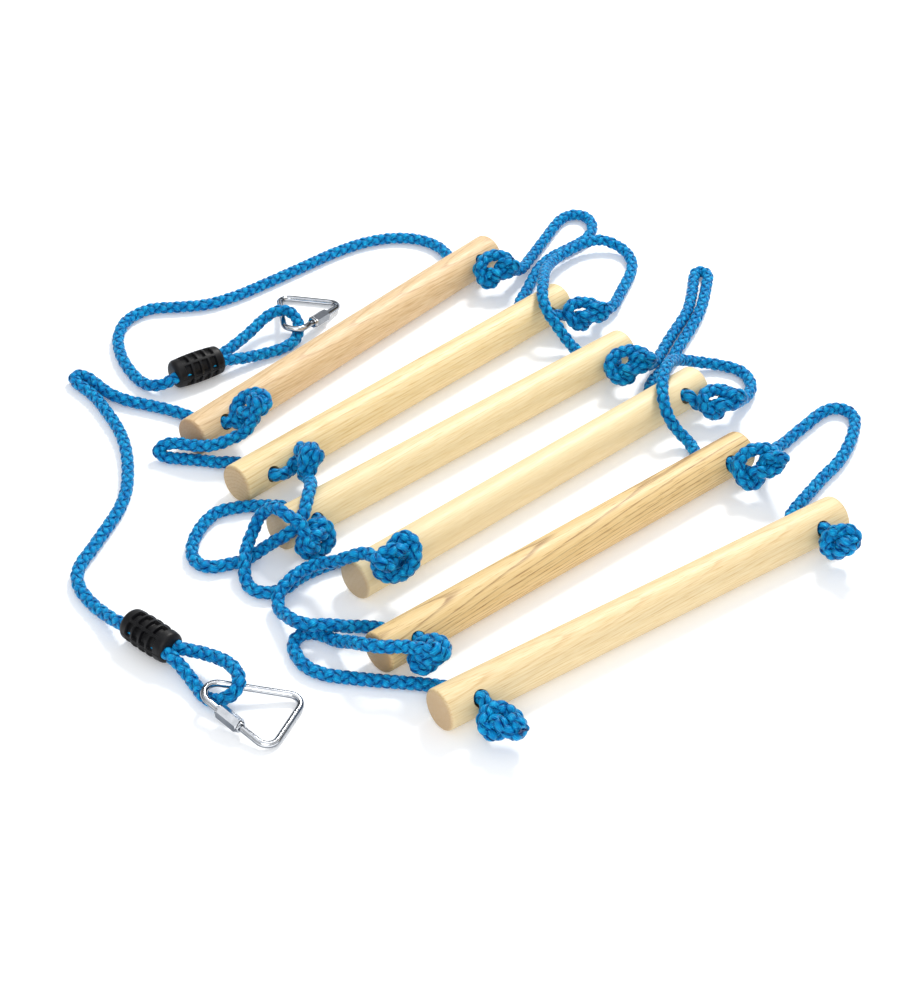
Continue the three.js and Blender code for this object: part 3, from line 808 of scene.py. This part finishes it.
def knotPoints(settings):
    along = np.array(settings["along"], float)
    along /= np.linalg.norm(along)
    face = np.array(settings["face"], float)
    face -= along * (face @ along)
    face /= np.linalg.norm(face)
    across = np.cross(face, along)
    shape = np.array(knotShape) * np.array(settings["size"]) * ropeSettings["diameter"]
    return np.array(settings["at"]) + shape @ np.array([along, across, face])


def sideLine(side):
    # the whole rope of one side, and where each knot starts and ends on it
    half = clampSettings["length"] / 2
    out = rungSettings["radius"] + ropeSettings["holeRunout"]
    points = [strandPoint(side, -0.2, -1), strandPoint(side, -half - 3, -1)]
    marks = []
    for i in range(6):
        points += leadRoutes[side] if i == 0 else ropeRoutes[side][i - 1]
        points += [holePoint(i, side, -out), holePoint(i, side, 0), holePoint(i, side, out)]
        knot = knotPoints(knotSettings[side][i])
        marks.append((len(points), len(points) + len(knot) - 1))
        points += [tuple(p) for p in knot]
    last = np.array(points[-1]) + (np.array(points[-1]) - np.array(points[-2])) * 0.6
    points.append(tuple(last))
    line = smoothLine(points, ropeSettings["step"], 1.6)
    line[:, 2] = np.maximum(line[:, 2], ropeSettings["restHeight"])
    longest = 900  # steps from one knot's mark to the next, at most
    nearest = []
    start = 0
    for first, final in marks:
        found = []
        for mark in (first, final):
            window = line[start:start + longest]
            start += int(np.argmin(np.linalg.norm(window - np.array(points[mark]), axis=1)))
            found.append(start)
        nearest.append(tuple(found))
    return line, nearest


def eyeLine(side):
    half = clampSettings["length"] / 2
    points = [strandPoint(side, 0.2, -1), strandPoint(side, half + 3, -1)]
    points += eyeRoutes[side]
    points += [strandPoint(side, half + 3, 1), strandPoint(side, -clampSettings["tailInside"], 1)]
    line = smoothLine(points, ropeSettings["step"], 2.0)
    line[:, 2] = np.maximum(line[:, 2], ropeSettings["restHeight"])
    return line


def lineFrames(line):
    # a sideways direction carried along the line without twist, and the length so far
    ahead = np.gradient(line, axis=0)
    ahead /= np.linalg.norm(ahead, axis=1)[:, None]
    sideways = np.zeros_like(line)
    start = np.cross(ahead[0], (0, 0, 1))
    sideways[0] = start / np.linalg.norm(start)
    for i in range(1, len(line)):
        v = sideways[i - 1] - ahead[i] * (sideways[i - 1] @ ahead[i])
        sideways[i] = v / np.linalg.norm(v)
    run = np.concatenate([[0], np.cumsum(np.linalg.norm(np.diff(line, axis=0), axis=1))])
    return sideways, run


def buildBraidTree():
    # eight strands, four each way round a centre line, passing over and under one another
    strands = 8
    tree = bpy.data.node_groups.new("braidedRope", "GeometryNodeTree")
    addSocket(tree, "Centre line", "NodeSocketGeometry")
    addSocket(tree, "Strand circle", "NodeSocketFloat", 0.0027)
    addSocket(tree, "Weave depth", "NodeSocketFloat", 0.0006)
    addSocket(tree, "Lay", "NodeSocketFloat", 0.04)
    addSocket(tree, "Strand width", "NodeSocketFloat", 0.0045)
    addSocket(tree, "Strand thickness", "NodeSocketFloat", 0.0026)
    addSocket(tree, "Swell", "NodeSocketFloat", 1.0)
    addSocket(tree, "Finish", "NodeSocketMaterial")
    addSocket(tree, "Rope", "NodeSocketGeometry", out=True)
    into = addNode(tree, "NodeGroupInput").outputs

    def calc(operation, a, b=None):
        return mathNode(tree, operation, a, b)

    def vector(operation, inputs):
        return addNode(tree, "ShaderNodeVectorMath", inputs, operation=operation).outputs

    def named(name, kind):
        node = addNode(tree, "GeometryNodeInputNamedAttribute", {"Name": name}, data_type=kind)
        return node.outputs["Attribute"]

    def store(geometry, name, kind, value, domain="POINT"):
        inputs = {"Geometry": geometry, "Name": name, "Value": value}
        node = addNode(tree, "GeometryNodeStoreNamedAttribute", inputs, data_type=kind, domain=domain)
        return node.outputs[0]

    centre = addNode(tree, "GeometryNodeMeshToCurve", {0: into["Centre line"]}).outputs[0]
    copies = {"Geometry": centre, "Amount": strands}
    copies = addNode(tree, "GeometryNodeDuplicateElements", copies, domain="SPLINE").outputs
    index = copies["Duplicate Index"]
    way = calc("SUBTRACT", calc("MULTIPLY", calc("LESS_THAN", index, strands / 2 - 0.5), 2.0), 1.0)
    place = calc("MULTIPLY", calc("FLOORED_MODULO", index, strands / 2), 4 * math.pi / strands)
    run = named("run", "FLOAT")
    turns = calc("DIVIDE", calc("MULTIPLY", run, 2 * math.pi), into["Lay"])
    angle = calc("ADD", calc("MULTIPLY", turns, way), place)
    wave = calc("MULTIPLY", calc("COSINE", calc("MULTIPLY", turns, 4.0)), way)
    radius = calc("ADD", into["Strand circle"], calc("MULTIPLY", wave, into["Weave depth"]))
    radius = calc("MULTIPLY", radius, into["Swell"])
    tangent = addNode(tree, "GeometryNodeInputTangent").outputs[0]
    sideways = named("sideways", "FLOAT_VECTOR")
    other = vector("CROSS_PRODUCT", {0: tangent, 1: sideways})[0]
    partA = vector("SCALE", {0: sideways, "Scale": calc("COSINE", angle)})[0]
    partB = vector("SCALE", {0: other, "Scale": calc("SINE", angle)})[0]
    outward = vector("ADD", {0: partA, 1: partB})[0]

    line = store(copies["Geometry"], "onTop", "FLOAT", calc("ADD", calc("MULTIPLY", wave, 0.5), 0.5))
    line = store(line, "outward", "FLOAT_VECTOR", outward)
    facing = {"Curve": line, "Normal": outward}
    line = addNode(tree, "GeometryNodeSetCurveNormal", facing, mode="FREE").outputs[0]
    moved = {"Geometry": line, "Offset": vector("SCALE", {0: outward, "Scale": radius})[0]}
    line = addNode(tree, "GeometryNodeSetPosition", moved).outputs[0]

    circle = addNode(tree, "GeometryNodeCurvePrimitiveCircle", {"Resolution": 8, "Radius": 0.5}, mode="RADIUS")
    size = addNode(tree, "ShaderNodeCombineXYZ", {
        0: calc("MULTIPLY", into["Strand thickness"], into["Swell"]),
        1: calc("MULTIPLY", into["Strand width"], into["Swell"]),
        2: 1.0,
    })
    shape = {"Geometry": circle.outputs["Curve"], "Scale": size.outputs[0]}
    shape = addNode(tree, "GeometryNodeTransform", shape).outputs[0]
    around = addNode(tree, "GeometryNodeCaptureAttribute", domain="POINT")
    around.capture_items.new("FLOAT", "around")
    factor = addNode(tree, "GeometryNodeSplineParameter").outputs["Factor"]
    setInputs(tree, around, {"Geometry": shape, "around": factor})

    solid = {"Curve": line, "Profile Curve": around.outputs["Geometry"], "Fill Caps": True}
    rope = addNode(tree, "GeometryNodeCurveToMesh", solid).outputs[0]
    normal = addNode(tree, "GeometryNodeInputNormal").outputs["Normal"]
    crown = vector("DOT_PRODUCT", {0: normal, 1: named("outward", "FLOAT_VECTOR")})["Value"]
    rope = store(rope, "crown", "FLOAT", crown)
    lay = {0: around.outputs["around"], 1: calc("MULTIPLY", run, 100.0)}
    uv = addNode(tree, "ShaderNodeCombineXYZ", lay).outputs[0]
    rope = store(rope, "UVMap", "FLOAT2", uv, "CORNER")
    rope = addNode(tree, "GeometryNodeSetShadeSmooth", {"Geometry": rope}).outputs[0]
    rope = addNode(tree, "GeometryNodeRealizeInstances", {0: rope}).outputs[0]
    rope = addNode(tree, "GeometryNodeSetMaterial", {"Geometry": rope, "Material": into["Finish"]}).outputs[0]
    addNode(tree, "NodeGroupOutput", {"Rope": rope})
    return tree


def makeRopeFinish(fibreGroup):
    material, tree, shader = newMaterial("blueBraid")
    s = ropeSettings
    coords = addNode(tree, "ShaderNodeTexCoord").outputs
    onTop = addNode(tree, "ShaderNodeAttribute", attribute_name="onTop").outputs["Fac"]
    crown = addNode(tree, "ShaderNodeAttribute", attribute_name="crown").outputs["Fac"]
    drawn = {"Vector": coords["UV"], "Across": 24, "Along": 4}
    fibres = addNode(tree, "ShaderNodeGroup", drawn, node_tree=fibreGroup).outputs[0]
    patches = noise(tree, coords["Object"], 140, 1.5)
    # painted light and shade: crowns of the strands are painted light, the gaps between them dark, and strands
    # passing under others darker
    under = mathNode(tree, "MULTIPLY", onTop, 0.38)
    height = mathNode(tree, "ADD", mathNode(tree, "MULTIPLY", crown, 0.62), under, clamp=True)
    # painted highlight: light cyan where bright fibres cross the strand crowns
    paintedGlint = mathNode(tree, "MULTIPLY", stretch(tree, fibres, 0.45, 0.68, 0.0, 0.9), height)
    colour = mixNode(tree, "MIX", paintedGlint, ramp(tree, height, s["tones"]), s["paintedGlint"])
    # a darker, bluer tint in random patches
    colour = mixNode(tree, "MULTIPLY", stretch(tree, patches, 0.35, 0.7), colour, s["patchTint"])
    setInputs(tree, shader, {
        "Base Color": colour,
        "Roughness": stretch(tree, fibres, 0.0, 1.0, 0.2, 0.45),
        "Normal": bump(tree, fibres, 0.6, 0.0004),
        "Specular IOR Level": 0.2,
        "Specular Tint": (0.22, 0.72, 1.0, 1),
    })
    return material


def setInput(modifier, name, value):
    for item in modifier.node_group.interface.items_tree:
        if item.item_type == "SOCKET" and item.in_out == "INPUT" and item.name == name:
            modifier[item.identifier] = value


def bake(obj, name):
    # the evaluated result as a plain mesh object at the origin
    bpy.context.view_layer.update()
    mesh = bpy.data.meshes.new_from_object(obj.evaluated_get(bpy.context.evaluated_depsgraph_get()))
    mesh.name = name
    made = addObject(name, mesh)
    old = obj.data
    bpy.data.objects.remove(obj)
    bpy.data.meshes.remove(old)
    return made


def braid(name, part, tree, finish, swell=1.0):
    line, sideways, run = part
    s = ropeSettings
    mesh = bpy.data.meshes.new(name + "Line")
    mesh.from_pydata((line * scale).tolist(), [(i, i + 1) for i in range(len(line) - 1)], [])
    mesh.attributes.new("sideways", "FLOAT_VECTOR", "POINT").data.foreach_set("vector", sideways.ravel())
    mesh.attributes.new("run", "FLOAT", "POINT").data.foreach_set("value", run * scale)
    source = addObject(name + "Line", mesh)
    modifier = source.modifiers.new("braid", "NODES")
    modifier.node_group = tree
    outer = (s["diameter"] + s["braidOver"]) / 2
    sizes = {
        "Strand circle": outer - s["strandThickness"] / 2 - s["weaveDepth"],
        "Weave depth": s["weaveDepth"],
        "Lay": s["lay"],
        "Strand width": s["strandWidth"],
        "Strand thickness": s["strandThickness"],
    }
    for socket, size in sizes.items():
        setInput(modifier, socket, size * scale)
    setInput(modifier, "Swell", swell)
    setInput(modifier, "Finish", finish)
    return bake(source, name)


def declareRope(line):
    length = float(np.linalg.norm(np.diff(line, axis=0), axis=1).sum()) * scale
    return length


def foldBlend(piece):
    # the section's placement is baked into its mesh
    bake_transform(piece)


def eyeBlend(piece):
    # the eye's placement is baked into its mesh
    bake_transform(piece)


def makeRopes(finish):
    # each side is one rope, parted at the knots; the lead and each knot ride a rung
    tree = buildBraidTree()
    overlap = 3  # steps by which a knot's ends run into the stretches beside it
    lengths = {}
    for side in bothSides:
        line, marks = sideLine(side)
        sideways, run = lineFrames(line)
        cuts = [0]
        for first, final in marks:
            cuts += [first + overlap, final - overlap]
        cuts[-1] = len(line) - 1
        for i, (a, b) in enumerate(zip(cuts, cuts[1:])):
            index = i // 2
            part = (line[a:b + 1], sideways[a:b + 1], run[a:b + 1])
            if i % 2:
                piece = braid(f"overhandKnot_{side}_{index + 1}", part, tree, finish, ropeSettings["knotSwell"])
                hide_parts(f"knot_{side}_{index + 1}")
                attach(piece, f"rung_{index + 1}")
            elif i == 0:
                piece = braid(f"braidLead_{side}", part, tree, finish)
                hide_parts(f"lead_{side}")
                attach(piece, "rung_1")
                lengths[piece.name] = declareRope(part[0])
            else:
                piece = braid(f"braidSection_{side}_{index}", part, tree, finish)
                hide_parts(f"rope_{side}_{index}")
                foldBlend(piece)
                lengths[piece.name] = declareRope(part[0])
        eye = eyeLine(side)
        piece = braid(f"braidEye_{side}", (eye, *lineFrames(eye)), tree, finish)
        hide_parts(f"eye_{side}")
        eyeBlend(piece)
        lengths[piece.name] = declareRope(eye)
    for name, length in lengths.items():
        print(f"{name}: {length:.3f} m")


lightSettings = {
    "roomStrength": 0.8,
    "mirroredStrength": 1.1,
    # things that shine mirror a room with dark gaps between its lamps, from floor to ceiling
    "bands": [
        (0.0, (1.0, 1.0, 1.0)), (0.16, (0.9, 0.92, 0.95)), (0.2, (0.03, 0.04, 0.05)), (0.4, (0.05, 0.06, 0.07)),
        (0.46, (1.0, 1.0, 1.0)), (0.6, (1.0, 1.0, 1.0)), (0.65, (0.05, 0.06, 0.07)), (0.78, (0.12, 0.13, 0.14)),
        (0.84, (1.0, 1.0, 1.0)), (1.0, (0.8, 0.84, 0.9)),
    ],
    "lamps": [
        {"name": "key", "place": (1.5, 0.7, 1.9), "size": 0.6, "power": 46, "colour": (1.0, 0.98, 0.95)},
        {"name": "fill", "place": (-1.2, -1.3, 1.2), "size": 1.6, "power": 13, "colour": (1.0, 0.99, 0.97)},
    ],
}


def makeFloor():
    bpy.ops.mesh.primitive_plane_add(size=12, location=(0, 0, -0.0002))
    floor = bpy.context.object
    floor.name = "floor"
    material, tree, shader = newMaterial("paleFloor")
    setInputs(tree, shader, {
        "Base Color": (0.93, 0.94, 0.95, 1),
        "Roughness": 0.6,
        "Specular IOR Level": 0.2,
        "Emission Color": (1, 1, 1, 1),
        "Emission Strength": 0.14,
    })
    floor.data.materials.append(material)


def addLamp(name, place, size, power, colour):
    data = bpy.data.lights.new(name, "AREA")
    data.shape = "DISK"
    data.size = size
    data.energy = power
    data.color = colour
    lamp = addObject(name, data)
    lamp.location = place
    lamp.rotation_euler = (-Vector(place)).to_track_quat("-Z", "Y").to_euler()


def makeLight():
    s = lightSettings
    world = bpy.data.worlds.new("studio")
    bpy.context.scene.world = world
    world.use_nodes = True
    tree = world.node_tree
    even = tree.nodes["Background"]
    setInputs(tree, even, {"Color": (0.95, 0.97, 1.0, 1), "Strength": s["roomStrength"]})
    coords = addNode(tree, "ShaderNodeTexCoord").outputs["Generated"]
    height = addNode(tree, "ShaderNodeSeparateXYZ", {0: coords}).outputs["Z"]
    banded = {"Color": ramp(tree, height, s["bands"]), "Strength": s["mirroredStrength"]}
    mirrored = addNode(tree, "ShaderNodeBackground", banded)
    glossy = addNode(tree, "ShaderNodeLightPath").outputs["Is Glossy Ray"]
    mix = addNode(tree, "ShaderNodeMixShader", {0: glossy, 1: even.outputs[0], 2: mirrored.outputs[0]})
    setInputs(tree, tree.nodes["World Output"], {"Surface": mix.outputs[0]})
    for lamp in s["lamps"]:
        addLamp(**lamp)
    bpy.context.scene.view_settings.view_transform = "Standard"


makeCamera()
fibreGroup = makeFibreGroup()
makeRopes(makeRopeFinish(fibreGroup))
print("ropes and knots braided")
makeRungs(makeGrainGroup())
print("rungs turned and drilled")
makeClamps(makeClampFinish())
print("clamps moulded")
makeLinks(makeSteelFinish(fibreGroup))
print("links and nuts made")
makeFloor()
makeLight()
print("floor and lights set")
